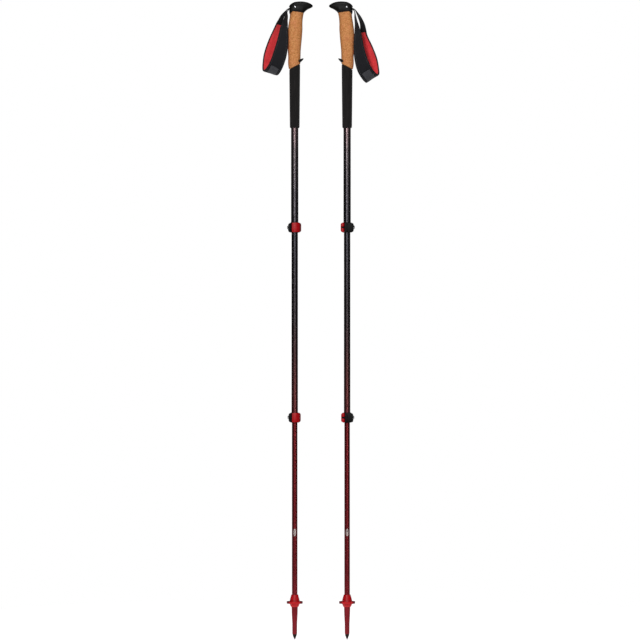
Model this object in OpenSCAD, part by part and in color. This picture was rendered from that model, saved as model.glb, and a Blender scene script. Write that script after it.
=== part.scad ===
// A pair of three-section trekking poles: telescoping aluminium shafts with flip-lever
// clamps, cork grips on foam sleeves, padded wrist straps, small baskets and carbide tips.
// Z is up and the ground is z = 0. The left pole stands at -X with its grip's beak towards
// +X; the right pole is the same pole turned half a turn. The straps are a mirrored pair.

/* [Pair] */
// Distance between the axes of the two poles
pole_gap = 115; // [112:1:160]

/* [Shafts] */
// Outer diameter of the lower shaft
lower_d = 12; // [11.6:0.1:12.2]
// Wall of each shaft
tube_wall = 0.9; // [0.7:0.05:1]
// Radial gap between one shaft and the next
slide_gap = 0.1; // [0.05:0.01:0.12]
// Height of the lower clamp's bottom
lower_lock_z = 476; // [460:1:480]
// Height of the upper clamp's bottom
upper_lock_z = 893; // [885:1:900]
// How far each shaft reaches up into the next one above its clamp's bottom
shaft_overlap = 101; // [90:1:104]

/* [Clamps] */
// Height of a clamp collar
collar_h = 22; // [20:0.5:24]
// Wall of a clamp collar around its shaft
collar_wall = 2; // [1.8:0.1:2.2]
// Thickness of a lever's arm
lever_t = 2.1; // [1.8:0.1:2.4]
// Radius of a lever's knuckle
knuckle_r = 4; // [3.8:0.1:4.1]
// Radius of a hinge pin
hinge_pin_r = 2.4; // [2:0.1:2.4]
// Radius of a tension screw's shank
screw_r = 1.5; // [1.2:0.1:1.5]

/* [Grip] */
// Height of the foam sleeve's bottom
foam_z = 1122; // [1060:1:1180]
// Radius of the foam sleeve at its bottom
foam_low_r = 10.5; // [10.2:0.1:11]
// Radius of the foam sleeve at its top
foam_top_r = 11.9; // [11.4:0.1:12.2]
// Wall of the sleeve that carries the cork
core_wall = 1.2; // [1:0.1:1.3]
// Radius of the pin that holds the strap
strap_pin_r = 1.6; // [1.4:0.1:2]
// Width of the strap's webbing
webbing_w = 15; // [12:0.5:16]

/* [Tip] */
// Radius of the ferrule's straight land, where a rubber tip protector fits
land_r = 5.3; // [5:0.05:5.4]
// Radius of the ferrule's upper land, which carries the basket
thread_r = 6.9; // [6.8:0.05:7]
// Outer radius of the basket
basket_r = 17.8; // [17.4:0.1:24]
// Radius of the carbide insert
carbide_r = 1.5; // [1.25:0.05:1.6]

/* [Hidden] */

$fn = 64;
eps = 0.01;
fit_gap = 0.05;

// Shaft radii, from the lowest up, each sliding in the next
lower_r = lower_d / 2;
middle_r = lower_r + slide_gap + tube_wall;
upper_r = middle_r + slide_gap + tube_wall;

// Heights of the shafts' ends
shaft_seat = 5;
upper_top_z = 1378.5;
core_top_z = 1380;
core_low_z = 1251;
lower_low_z = 68;
plug_stem = 10;
plug_cap = 4;

// Grip outline: [height, reach to the front, reach to the rear, half width]
cork_rows = [
  [1248, 11.6, 11.8, 12.0],
  [1257, 11.8, 13.8, 12.8],
  [1265, 12.4, 14.6, 13.2],
  [1277, 12.8, 14.3, 12.8],
  [1293, 13.3, 15.2, 12.6],
  [1315, 15.3, 16.0, 13.4],
  [1337, 17.0, 15.2, 14.0],
  [1352, 17.0, 13.2, 13.8],
  [1366, 18.2, 10.9, 13.2],
  [1382, 21.4, 10.4, 12.6]
];
// Pommel outline: [distance to the front, bottom, top, half width]
pommel_rows = [
  [-12.4, 1382.0, 1388.5, 3.0],
  [-11.6, 1374.0, 1390.8, 7.6],
  [-9.0, 1370.0, 1393.8, 11.2],
  [-5.0, 1370.0, 1396.6, 13.2],
  [1.0, 1370.0, 1399.0, 14.3],
  [9.0, 1370.0, 1399.9, 14.8],
  [17.0, 1371.0, 1399.9, 14.0],
  [22.0, 1377.0, 1399.3, 12.4],
  [27.0, 1381.2, 1398.2, 10.6],
  [32.0, 1383.8, 1396.4, 8.6],
  [36.0, 1385.7, 1394.2, 6.4],
  [38.8, 1387.6, 1392.0, 3.6],
  [39.7, 1389.0, 1390.6, 1.2]
];
// Under the pommel: the cork's top, as a side outline
seam_front = [24, 1374.6];
seam_crown = [-4, 1377.6];
seam_rear = [-11.5, 1371.6];
// Where the foam meets the cork, on a slope that is low at the rear
foam_seam_x = 11.5;
foam_seam_rear_z = 1251.5;
foam_seam_front_z = 1262;

// Strap fixing inside the pommel
pin_x = 1;
pin_z = 1387.5;
mouth_x = -14.5;
mouth_z = 1382;
webbing_t = 1.4;
shell_t = 2.2;
lining_t = 2.6;
layer_gap = 0.15;
label_t = 0.6;

// Centre line of each strap, from the slot down the near leg, round the bottom and up the
// far leg: [distance from the pole, Y, Z, twist, tilt of the width, width as a share]
left_strap = [
  [16.0, 0, 1378.6, 0, 0, 15],
  [17.6, -3, 1369, 20, 0, 15],
  [19.4, -8, 1359, 32, 3, 15],
  [21.4, -12.5, 1349, 63, 10, 15],
  [23.6, -15, 1337, 90, 15, 18],
  [26.5, -16.5, 1311, 90, 17, 25],
  [32, -17, 1284, 90, 18, 30],
  [39.5, -16, 1262, 90, 18, 31],
  [47, -10.5, 1248.5, 90, 17, 31],
  [53, 0, 1244, 90, 16, 31],
  [55.5, 10.5, 1248.5, 90, 17, 31],
  [55.5, 16, 1262, 90, 18, 31],
  [53, 17, 1284, 90, 18, 30],
  [46.5, 16.5, 1311, 90, 17, 25],
  [38.5, 15, 1337, 90, 15, 18],
  [34.5, 12.5, 1350, 70, 12, 15],
  [31, 8, 1359.5, 42, 5, 15],
  [26, 3, 1369.5, 30, 0, 15],
  [18.2, 0, 1380.6, 0, 0, 15]
];
right_strap = [
  [16.0, 0, 1378.6, 0, 0, 15],
  [17.8, -2, 1365, 12, 0, 15],
  [20.2, -6, 1350, 26, 0, 15],
  [22.4, -12, 1334, 58, 12, 15],
  [23.6, -15, 1321, 90, 18, 18],
  [25.2, -16.5, 1300, 90, 20, 23],
  [29.5, -17, 1275, 90, 23, 28],
  [36.5, -16, 1253, 90, 27, 31],
  [46.5, -10.5, 1237, 90, 31, 31.5],
  [54, 0, 1231.5, 90, 33, 31.5],
  [55.9, 10.5, 1238, 90, 31, 31.5],
  [55, 16, 1252, 90, 27, 31],
  [52.5, 17, 1273, 90, 23, 28],
  [45.5, 16.5, 1298, 90, 20, 23],
  [37.8, 15, 1320, 90, 18, 18],
  [36, 12, 1333, 65, 12, 15],
  [33.5, 6, 1350, 42, 0, 15],
  [27, 2, 1366, 25, 0, 15],
  [18.2, 0, 1380.6, 0, 0, 15]
];
pad_first = 3;
pad_last = 15;
strap_last = 18;
strap_steps = 5;
label_first = 7.4;
label_last = 8.8;
label_share = 0.6;

// ---- curves and lofts ----

// One point of a smooth curve between rows b and c
function blend(a, b, c, d, t) =
  0.5 * (2 * b + (c - a) * t + (2 * a - 5 * b + 4 * c - d) * t * t
  + (3 * b - a - 3 * c + d) * t * t * t);
function row(rows, i) = rows[max(0, min(len(rows) - 1, i))];
// The row at the place t, which may lie between two rows
function row_at(rows, t) =
  let (i = min(floor(t), len(rows) - 2))
  blend(row(rows, i - 1), row(rows, i), row(rows, i + 1), row(rows, i + 2), t - i);
function rows_between(rows, first, last, steps) =
  let (n = round((last - first) * steps))
  [for (k = [0:n]) row_at(rows, first + (last - first) * k / n)];

// An oval whose front and rear reaches differ, squared off by the exponent e
function oval(front, rear, half, e, n) =
  [for (k = [0:n - 1])
    let (c = cos(360 * k / n), s = sin(360 * k / n))
    [sign(c) * pow(abs(c), 2 / e) * (c > 0 ? front : rear), sign(s) * pow(abs(s), 2 / e) * half]];

// A closed solid through rings of equal length. Its two halves are split into triangles the
// opposite way round, so that the facing sides of two layers of a band match.
module loft(rings) {
  n = len(rings[0]);
  m = len(rings);
  points = [for (ring = rings) each ring];
  sides = [for (i = [0:m - 2]) for (j = [0:n - 1])
    let (a = i * n + j, b = i * n + (j + 1) % n)
    each j < n / 2 ? [[a, a + n, b + n], [a, b + n, b]] : [[a, a + n, b], [b, a + n, b + n]]];
  bottom = [for (j = [0:n - 1]) j];
  top = [for (j = [n - 1:-1:0]) (m - 1) * n + j];
  polyhedron(points, concat([bottom], sides, [top]), convexity = 8);
}

// ---- placing ----

module left() translate([-pole_gap / 2, 0, 0]) children();
module right() translate([pole_gap / 2, 0, 0]) rotate([0, 0, 180]) children();
module right_mirrored() translate([pole_gap / 2, 0, 0]) mirror([1, 0, 0]) children();
module at_upper_lock() translate([0, 0, upper_lock_z]) children();
module at_lower_lock() translate([0, 0, lower_lock_z]) children();

// ---- shafts ----

module tube(r, low, high) {
  translate([0, 0, low])
    difference() {
      cylinder(r = r, h = high - low);
      translate([0, 0, -1]) cylinder(r = r - tube_wall, h = high - low + 2);
    }
}

module upper_shaft() color([0.16, 0.14, 0.15]) tube(upper_r, upper_lock_z + shaft_seat, upper_top_z);

module middle_shaft()
  color([0.13, 0.12, 0.13]) tube(middle_r, lower_lock_z + shaft_seat, upper_lock_z + shaft_overlap);

module lower_shaft() color([0.4, 0.06, 0.09]) tube(lower_r, lower_low_z, lower_lock_z + shaft_overlap);

// Guide plug in the top of a sliding shaft
module end_plug(r, top) {
  color([0.1, 0.1, 0.1]) {
    translate([0, 0, top - plug_stem]) cylinder(r = r - tube_wall, h = plug_stem);
    translate([0, 0, top]) cylinder(r1 = r, r2 = r - 1, h = plug_cap);
  }
}

module middle_plug() end_plug(middle_r, upper_lock_z + shaft_overlap);

module lower_plug() end_plug(lower_r, lower_lock_z + shaft_overlap);

// ---- grip ----

module pommel_form() {
  rows = rows_between(pommel_rows, 0, len(pommel_rows) - 1, 2);
  loft([for (r = rows)
    [for (p = oval(1, 1, 1, 2.3, 32))
      [r[0], p[0] * r[3], (r[1] + r[2]) / 2 + p[1] * (r[2] - r[1]) / 2]]]);
}

// Everything above the cork's top
module above_cork() {
  under = [[-30, seam_rear[1]], seam_rear, seam_crown, seam_front, [60, seam_front[1]]];
  outline = concat(under, [[60, 1420], [-30, 1420]]);
  rotate([90, 0, 0]) linear_extrude(60, center = true) polygon(outline);
}

// Side outline of the slot that the webbing runs in, out through the pommel's rear
module webbing_slot() {
  rotate([90, 0, 0])
    linear_extrude(webbing_w + 1, center = true)
      hull() {
        translate([pin_x, pin_z]) circle(r = strap_pin_r + webbing_t + 0.5);
        translate([mouth_x - 2, mouth_z]) square([1, 8], center = true);
      }
}

wedge_low = [-8, -6, 1389.6];
wedge_high = [-2.8, 6, 1402];

module wedge_block(grow) {
  translate(wedge_low - [grow, grow, 0])
    cube(wedge_high - wedge_low + [2 * grow, 2 * grow, 0]);
}

module pommel() {
  color([0.08, 0.08, 0.09])
    difference() {
      intersection() {
        pommel_form();
        above_cork();
      }
      webbing_slot();
      wedge_block(fit_gap);
      translate([pin_x, 20, pin_z]) rotate([90, 0, 0]) cylinder(r = strap_pin_r, h = 40);
      translate([0, 0, core_low_z]) cylinder(r = upper_r + core_wall, h = core_top_z - core_low_z);
    }
}

module strap_wedge() {
  color([0.12, 0.12, 0.13])
    intersection() {
      pommel_form();
      wedge_block(0);
    }
}

module strap_pin() {
  pin_half = 14;
  color([0.8, 0.8, 0.82])
    translate([pin_x, pin_half, pin_z]) rotate([90, 0, 0]) cylinder(r = strap_pin_r, h = 2 * pin_half);
}

// The cork's foot: everything above the foam
module above_foam() {
  slope = (foam_seam_front_z - foam_seam_rear_z) / (2 * foam_seam_x);
  middle_z = (foam_seam_front_z + foam_seam_rear_z) / 2;
  outline = [[-30, middle_z - 30 * slope], [30, middle_z + 30 * slope], [30, 1500], [-30, 1500]];
  rotate([90, 0, 0]) linear_extrude(60, center = true) polygon(outline);
}

// Sleeve on the upper shaft that carries cork and pommel, closed over the shaft's end
module grip_core() {
  color([0.2, 0.2, 0.2])
    difference() {
      translate([0, 0, core_low_z]) cylinder(r = upper_r + core_wall, h = core_top_z - core_low_z);
      translate([0, 0, core_low_z - 1]) cylinder(r = upper_r, h = upper_top_z - core_low_z + 1);
    }
}

// Lip under the forefinger, widest at the front
module ledge_form() {
  core_r = upper_r + core_wall;
  profile = [
    [core_r, 1264.7], [12.6, 1265.6], [18.9, 1272.8], [19.3, 1275.2], [17.8, 1276], [12.6, 1270.6],
    [core_r, 1269.7]
  ];
  intersection() {
    rotate([0, 0, -52]) rotate_extrude(angle = 104) polygon(profile);
    translate([6, 0, 1255]) cylinder(r = 13.3, h = 30);
  }
}

module finger_ledge() color([0.12, 0.12, 0.11]) ledge_form();

module cork_grip() {
  rows = rows_between(cork_rows, 0, len(cork_rows) - 1, 2);
  color([0.77, 0.52, 0.34])
    difference() {
      intersection() {
        loft([for (r = rows) [for (p = oval(r[1], r[2], r[3], 2.2, 36)) [p[0], p[1], r[0]]]]);
        above_foam();
      }
      above_cork();
      ledge_form();
      translate([0, 0, 1240]) cylinder(r = upper_r + core_wall, h = 150);
    }
}

module foam_grip() {
  round_off = 1.6;
  profile = [
    [upper_r, foam_z], [foam_low_r - round_off, foam_z], [foam_low_r, foam_z + round_off],
    [foam_top_r, foam_seam_front_z], [foam_top_r, 1275], [upper_r, 1275]
  ];
  color([0.14, 0.13, 0.13])
    difference() {
      rotate_extrude() polygon(profile);
      above_foam();
      translate([0, 0, core_low_z]) cylinder(r = upper_r + core_wall, h = 40);
    }
}

// ---- strap ----

// Webbing round the pin and back out of the slot
module strap_anchor() {
  inner_r = strap_pin_r + fit_gap;
  color([0.1, 0.1, 0.11])
    rotate([90, 0, 0])
      linear_extrude(webbing_w, center = true)
        difference() {
          hull() {
            translate([pin_x, pin_z]) circle(r = inner_r + webbing_t, $fn = 32);
            translate([mouth_x, mouth_z]) square([0.1, 2 * webbing_t + 0.4], center = true);
          }
          hull() {
            translate([pin_x, pin_z]) circle(r = inner_r, $fn = 32);
            translate([mouth_x, mouth_z]) square([0.2, 0.4], center = true);
          }
        }
}

function unit(v) = v / norm(v);
function strap_point(r) = [-r[0], r[1], r[2]];
// Direction of the band's width, before it is squared to the path
function strap_width(r) = [sin(r[3]) * cos(r[4]), cos(r[3]), -sin(r[3]) * sin(r[4])];

// One ring of a band that lies from low to high along the outward normal
function band_ring(r, along, share, low, high) =
  let (
    out = unit(cross(along, strap_width(r))),
    wide = cross(out, along),
    half = r[5] * webbing_w / 15 * share / 2,
    cut = (high - low) * 0.3,
    corners = [
      [cut - half, low], [half - cut, low], [half, low + cut], [half, high - cut],
      [half - cut, high], [cut - half, high], [-half, high - cut], [-half, low + cut]
    ]
  )
  [for (c = corners) strap_point(r) + wide * c[0] + out * c[1]];

// A band along a strap's centre line between two of its rows
module band(strap, first, last, share, low, high) {
  reach = 0.05;
  n = round((last - first) * strap_steps);
  places = [for (k = [0:n]) first + (last - first) * k / n];
  rings = [for (t = places)
    let (
      before = strap_point(row_at(strap, max(0, t - reach))),
      after = strap_point(row_at(strap, min(strap_last, t + reach)))
    )
    band_ring(row_at(strap, t), unit(after - before), share, low, high)];
  loft(rings);
}

module strap_webbing(strap) {
  color([0.1, 0.1, 0.12]) {
    band(strap, 0, pad_first, 1, -webbing_t / 2, webbing_t / 2);
    band(strap, pad_last, strap_last, 1, -webbing_t / 2, webbing_t / 2);
  }
}

module strap_shell(strap) color([0.11, 0.11, 0.13]) band(strap, pad_first, pad_last, 1, layer_gap, shell_t);

module strap_lining(strap)
  color([0.75, 0.12, 0.15]) band(strap, pad_first, pad_last, 1, -lining_t, -layer_gap);

module strap_label(strap) {
  color([0.4, 0.4, 0.42])
    band(strap, label_first, label_last, label_share, shell_t + layer_gap, shell_t + layer_gap + label_t);
}

// ---- clamps ----
// A clamp stands on z = 0. Its collar holds the end of the wider shaft, of radius r, and grips
// the narrower one. The lever hinges on a pin behind the shaft and wraps round its front.

function ring_r(r) = r + collar_wall;
function hinge_at(r) = [r + 2.2, r + 2.4];
function boss_x(r) = -(r + 6.4);
function arm_r(r) = ring_r(r) + 0.35;

module rounded_box(low, high, r) {
  translate([low[0] + r, low[1]]) square([high[0] - low[0] - 2 * r, high[1] - low[1]]);
  translate([low[0], low[1] + r]) square([high[0] - low[0], high[1] - low[1] - 2 * r]);
  for (x = [low[0] + r, high[0] - r], y = [low[1] + r, high[1] - r]) translate([x, y]) circle(r = r);
}

// What to cut away to round, seen from the front, a block's two corners on the side sx of x
module corner_cuts(x, sx, low, high, r) {
  for (end = [[low, -1], [high, 1]])
    translate([x, 0, end[0]])
      difference() {
        translate([sx * (1 - r) / 2, 0, end[1] * (1 - r) / 2]) cube([r + 1, 60, r + 1], center = true);
        translate([-sx * r, 31, -end[1] * r]) rotate([90, 0, 0]) cylinder(r = r, h = 62);
      }
}

module clamp_collar(r, slider_r) {
  ear_x = hinge_at(r)[0] - knuckle_r - 0.4;
  bevel = 0.8;
  color([0.08, 0.08, 0.08])
    difference() {
      union() {
        cylinder(r = ring_r(r), h = collar_h - bevel);
        translate([0, 0, collar_h - bevel]) cylinder(r1 = ring_r(r), r2 = ring_r(r) - bevel, h = bevel);
        translate([0, 0, 0.6])
          linear_extrude(collar_h - 1.8) rounded_box([boss_x(r), 3.2], [ear_x, r + 6.1], 1.5);
      }
      corner_cuts(boss_x(r), -1, 0.6, collar_h - 1.2, 4.5);
      translate([0, 0, shaft_seat]) cylinder(r = r, h = collar_h);
      translate([0, 0, -1]) cylinder(r = slider_r + fit_gap, h = shaft_seat + 2);
      translate([-0.7, 0, -1]) cube([1.4, r + 10, collar_h + 2]);
      translate([hinge_at(r)[0], hinge_at(r)[1], -1]) cylinder(r = knuckle_r + 0.3, h = collar_h + 2);
      translate([boss_x(r) - 1, hinge_at(r)[1], collar_h / 2])
        rotate([0, 90, 0]) cylinder(r = screw_r + fit_gap, h = 40);
    }
}

// Where the lever's tail ends, as an angle round the shaft, and its lip there
tail = -114;
lip_r = lever_t / 2 + 0.35;
function lip_at(r) = arm_r(r) + lever_t / 2 + 0.4;

// The lever, shut, before its corners, bore and slot are cut
module lever_form(r, h) {
  hinge = hinge_at(r);
  low_r = arm_r(r);
  high_r = low_r + lever_t;
  neck = -15;
  root = 38;
  wide = 3 * high_r;
  difference() {
    union() {
      intersection() {
        cylinder(r = high_r, h = h);
        linear_extrude(h) polygon([[0, 0], for (a = [tail, -80, -40, 0, root]) wide * [cos(a), sin(a)]]);
      }
      linear_extrude(h)
        polygon([hinge, hinge + [knuckle_r, 0], (high_r - 0.15) * [cos(neck), sin(neck)], [low_r - 1, -3]]);
      translate([hinge[0], hinge[1], 0]) cylinder(r = knuckle_r, h = h);
    }
    translate([0, 0, -1]) cylinder(r = low_r, h = h + 2);
  }
  translate([lip_at(r) * cos(tail), lip_at(r) * sin(tail), 0]) cylinder(r = lip_r, h = h);
}

module clamp_lever(r) {
  hinge = hinge_at(r);
  low = 0.7;
  high = collar_h - low;
  color([0.72, 0.1, 0.14])
    difference() {
      translate([0, 0, low]) lever_form(r, high - low);
      corner_cuts(hinge[0] + knuckle_r, 1, low, high, 4.5);
      corner_cuts(lip_at(r) * cos(tail) - lip_r, -1, low, high, 2.2);
      translate([hinge[0], hinge[1], -1]) cylinder(r = hinge_pin_r + fit_gap, h = collar_h + 2);
      translate([hinge[0], hinge[1], collar_h / 2])
        linear_extrude(2 * screw_r + 1, center = true)
          polygon([[0, 0], for (a = [8, 60, 110, 160, 222]) 9 * [cos(a), sin(a)]]);
    }
}

module clamp_hinge_pin(r) {
  pin_h = collar_h - 4.4;
  color([0.6, 0.6, 0.62])
    translate([hinge_at(r)[0], hinge_at(r)[1], (collar_h - pin_h) / 2])
      difference() {
        cylinder(r = hinge_pin_r, h = pin_h);
        translate([-hinge_pin_r - 1, 0, pin_h / 2])
          rotate([0, 90, 0]) cylinder(r = screw_r + fit_gap, h = 2 * hinge_pin_r + 2);
      }
}

// Screw through the boss into the hinge pin, its domed head outside
module clamp_screw(r) {
  head_r = 4.2;
  head_h = 2.1;
  shank = -boss_x(r) + hinge_at(r)[0] + 1.6;
  profile = [
    [0, 0], [head_r - 1.4, 0], [head_r - 0.4, 0.7], [head_r, head_h - 0.2],
    [head_r, head_h], [screw_r, head_h], [screw_r, head_h + shank], [0, head_h + shank]
  ];
  color([0.65, 0.65, 0.67])
    translate([boss_x(r) - head_h - fit_gap, hinge_at(r)[1], collar_h / 2])
      rotate([0, 90, 0])
        difference() {
          rotate_extrude() polygon(profile);
          translate([0, 0, -1]) cylinder(r = 1.6, h = 2.2, $fn = 6);
        }
}

// ---- tip ----

module basket() {
  hub = [
    [thread_r, 71.5], [7.8, 71.5], [9.2, 73.5], [10.8, 78], [11.3, 82],
    [10.8, 86], [9.8, 90], [8.4, 95], [7.5, 98.5], [thread_r, 98.5]
  ];
  dish = [
    [10.3, 80.2], [basket_r - 1.4, 79.6], [basket_r - 1.4, 78.9], [basket_r - 0.2, 78.9], [basket_r, 81.4],
    [basket_r - 0.2, 83.9], [basket_r - 1.2, 83.9], [basket_r - 1.4, 82.2], [10.3, 82.6]
  ];
  lobes = 6;
  color([0.72, 0.1, 0.14])
    difference() {
      union() {
        rotate_extrude() polygon(hub);
        difference() {
          rotate_extrude() polygon(dish);
          for (i = [0:lobes - 1])
            rotate([0, 0, 360 * i / lobes]) {
              translate([basket_r + 1.9, 0, 70]) cylinder(r = 3.3, h = 20);
              rotate([0, 0, 180 / lobes]) translate([13.9, 0, 70]) cylinder(r = 1.4, h = 20);
            }
        }
      }
      translate([0, 0, 60]) cylinder(r = thread_r, h = 50);
    }
}

module tip_ferrule() {
  profile = [
    [0, 12], [land_r - 0.5, 12], [land_r, 13.5], [land_r, 34.5], [6.4, 56],
    [6.75, 70], [thread_r, 72], [thread_r, 97], [0, 97]
  ];
  color([0.6, 0.12, 0.16])
    difference() {
      rotate_extrude() polygon(profile);
      translate([0, 0, lower_low_z]) cylinder(r = lower_r, h = 40);
      translate([0, 0, 11]) cylinder(r = 2, h = 15);
    }
}

module tip_holder() {
  profile = [[0, 2.6], [carbide_r + 0.45, 2.6], [4.4, 9.5], [4.8, 12], [2, 12], [2, 26], [0, 26]];
  color([0.12, 0.11, 0.11])
    difference() {
      rotate_extrude() polygon(profile);
      translate([0, 0, 1]) cylinder(r = carbide_r, h = 11);
    }
}

module carbide_tip() {
  dish_r = 3;
  color([0.55, 0.55, 0.56])
    difference() {
      union() {
        cylinder(r1 = carbide_r - 0.25, r2 = carbide_r, h = 0.5);
        translate([0, 0, 0.5]) cylinder(r = carbide_r, h = 11.5);
      }
      translate([0, 0, 0.15 - dish_r]) sphere(r = dish_r);
    }
}

// ---- left pole ----
left() upper_shaft();  // left_upper_shaft
left() middle_shaft();  // left_middle_shaft
left() lower_shaft();  // left_lower_shaft
left() middle_plug();  // left_middle_plug
left() lower_plug();  // left_lower_plug
left() pommel();  // left_pommel
left() cork_grip();  // left_cork_grip
left() grip_core();  // left_grip_core
left() foam_grip();  // left_foam_grip
left() finger_ledge();  // left_finger_ledge
left() strap_pin();  // left_strap_pin
left() strap_wedge();  // left_strap_wedge
left() strap_anchor();  // left_strap_anchor
left() strap_webbing(left_strap);  // left_strap_webbing
left() strap_shell(left_strap);  // left_strap_shell
left() strap_lining(left_strap);  // left_strap_lining
left() strap_label(left_strap);  // left_strap_label
left() at_upper_lock() clamp_collar(upper_r, middle_r);  // left_upper_collar
left() at_upper_lock() clamp_lever(upper_r);  // left_upper_lever
left() at_upper_lock() clamp_hinge_pin(upper_r);  // left_upper_hinge_pin
left() at_upper_lock() clamp_screw(upper_r);  // left_upper_screw
left() at_lower_lock() clamp_collar(middle_r, lower_r);  // left_lower_collar
left() at_lower_lock() clamp_lever(middle_r);  // left_lower_lever
left() at_lower_lock() clamp_hinge_pin(middle_r);  // left_lower_hinge_pin
left() at_lower_lock() clamp_screw(middle_r);  // left_lower_screw
left() basket();  // left_basket
left() tip_ferrule();  // left_tip_ferrule
left() tip_holder();  // left_tip_holder
left() carbide_tip();  // left_carbide_tip

// ---- right pole ----
right() upper_shaft();  // right_upper_shaft
right() middle_shaft();  // right_middle_shaft
right() lower_shaft();  // right_lower_shaft
right() middle_plug();  // right_middle_plug
right() lower_plug();  // right_lower_plug
right() pommel();  // right_pommel
right() cork_grip();  // right_cork_grip
right() grip_core();  // right_grip_core
right() foam_grip();  // right_foam_grip
right() finger_ledge();  // right_finger_ledge
right() strap_pin();  // right_strap_pin
right() strap_wedge();  // right_strap_wedge
right() strap_anchor();  // right_strap_anchor
right_mirrored() strap_webbing(right_strap);  // right_strap_webbing
right_mirrored() strap_shell(right_strap);  // right_strap_shell
right_mirrored() strap_lining(right_strap);  // right_strap_lining
right_mirrored() strap_label(right_strap);  // right_strap_label
right() at_upper_lock() clamp_collar(upper_r, middle_r);  // right_upper_collar
right() at_upper_lock() clamp_lever(upper_r);  // right_upper_lever
right() at_upper_lock() clamp_hinge_pin(upper_r);  // right_upper_hinge_pin
right() at_upper_lock() clamp_screw(upper_r);  // right_upper_screw
right() at_lower_lock() clamp_collar(middle_r, lower_r);  // right_lower_collar
right() at_lower_lock() clamp_lever(middle_r);  // right_lower_lever
right() at_lower_lock() clamp_hinge_pin(middle_r);  // right_lower_hinge_pin
right() at_lower_lock() clamp_screw(middle_r);  // right_lower_screw
right() basket();  // right_basket
right() tip_ferrule();  // right_tip_ferrule
right() tip_holder();  // right_tip_holder
right() carbide_tip();  // right_carbide_tip
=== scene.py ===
# A pair of trekking poles: materials, soft goods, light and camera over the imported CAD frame.
import math

import bmesh
import bpy
import numpy as np
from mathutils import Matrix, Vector, noise


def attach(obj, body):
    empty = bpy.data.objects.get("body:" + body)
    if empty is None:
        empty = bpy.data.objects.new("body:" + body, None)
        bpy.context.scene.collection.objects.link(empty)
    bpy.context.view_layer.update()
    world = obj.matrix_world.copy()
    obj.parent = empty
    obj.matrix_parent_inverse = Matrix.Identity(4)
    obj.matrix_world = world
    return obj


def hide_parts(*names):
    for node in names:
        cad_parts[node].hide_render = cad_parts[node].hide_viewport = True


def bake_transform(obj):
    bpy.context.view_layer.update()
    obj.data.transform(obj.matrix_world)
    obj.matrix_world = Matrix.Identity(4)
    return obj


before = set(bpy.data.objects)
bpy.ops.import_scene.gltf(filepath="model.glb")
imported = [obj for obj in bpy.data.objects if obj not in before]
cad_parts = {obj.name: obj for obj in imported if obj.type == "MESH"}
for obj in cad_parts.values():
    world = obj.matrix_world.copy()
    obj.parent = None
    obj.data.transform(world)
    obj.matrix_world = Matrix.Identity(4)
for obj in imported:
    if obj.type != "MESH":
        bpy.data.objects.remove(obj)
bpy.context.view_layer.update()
scene = bpy.context.scene
scene.view_settings.view_transform = "Standard"
scene.view_settings.look = "None"

# half the distance between the poles' axes, in metres
GAP = 0.0575
SIDES = ("left", "right")
MM = 0.001
POLE_H = 1.4

# heights and radii that several pieces share, in millimetres of the pole's own frame
CORE_R = 9.3
FOAM_LOW_Z = 1122
PIN_X, PIN_Z = 1, 1387.5
CORK_POWER = 2.2


# ---- material helpers ----

def srgb(r, g, b):
    def lin(c):
        c /= 255.0
        return c / 12.92 if c <= 0.04045 else ((c + 0.055) / 1.055) ** 2.4
    return (lin(r), lin(g), lin(b), 1.0)


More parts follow.
